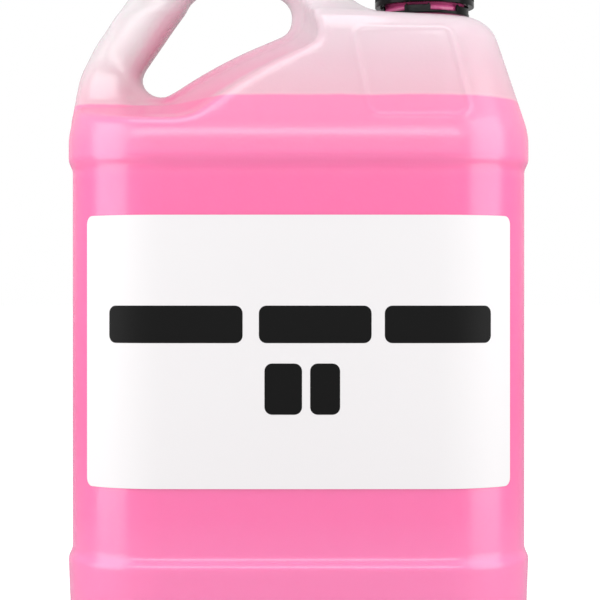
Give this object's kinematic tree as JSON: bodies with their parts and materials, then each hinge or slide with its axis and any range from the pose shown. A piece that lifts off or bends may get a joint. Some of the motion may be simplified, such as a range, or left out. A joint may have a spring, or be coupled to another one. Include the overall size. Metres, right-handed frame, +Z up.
{
  "type": "jerry can of liquid soap",
  "caption": "Five litre translucent jerry can with a hollow handle, filled with pink liquid soap, with a screw cap, a tamper ring and a wrapped front label.",
  "frame": {"origin": "middle of the base, on the surface that the can stands on", "axes": "+Z up, the label faces -Y, the cap is towards +X and the handle towards -X"},
  "size_m": [0.19, 0.138, 0.2886],
  "materials": {
    "natural_plastic": "translucent satin, blow-moulded",
    "soap": "clear pink liquid",
    "label": "smooth white film",
    "black_plastic": "glossy moulded",
    "wad_foam": "foamed white"
  },
  "bodies": {
    "bottle": {"container": "natural_plastic", "liquid_soap": "soap", "front_label": "label", "tamper_ring": "black_plastic"},
    "wad": {"cap_wad": "wad_foam"},
    "cap": {"screw_cap": "black_plastic"}
  },
  "joints": [
    {"name": "cap_lift", "type": "slide", "parent": "bottle", "child": "wad", "axis": [0, 0, 1], "range_m": [0, 0.0063]},
    {"name": "cap_turn", "type": "hinge", "parent": "wad", "child": "cap", "pos_m": [0.054, 0, 0.27], "axis": [0, 0, 1], "range_deg": [0, 540]}
  ],
  "couplings": [
    {"joint": "cap_lift", "follows": "cap_turn", "m_per_rad": 0.00066845}
  ]
}
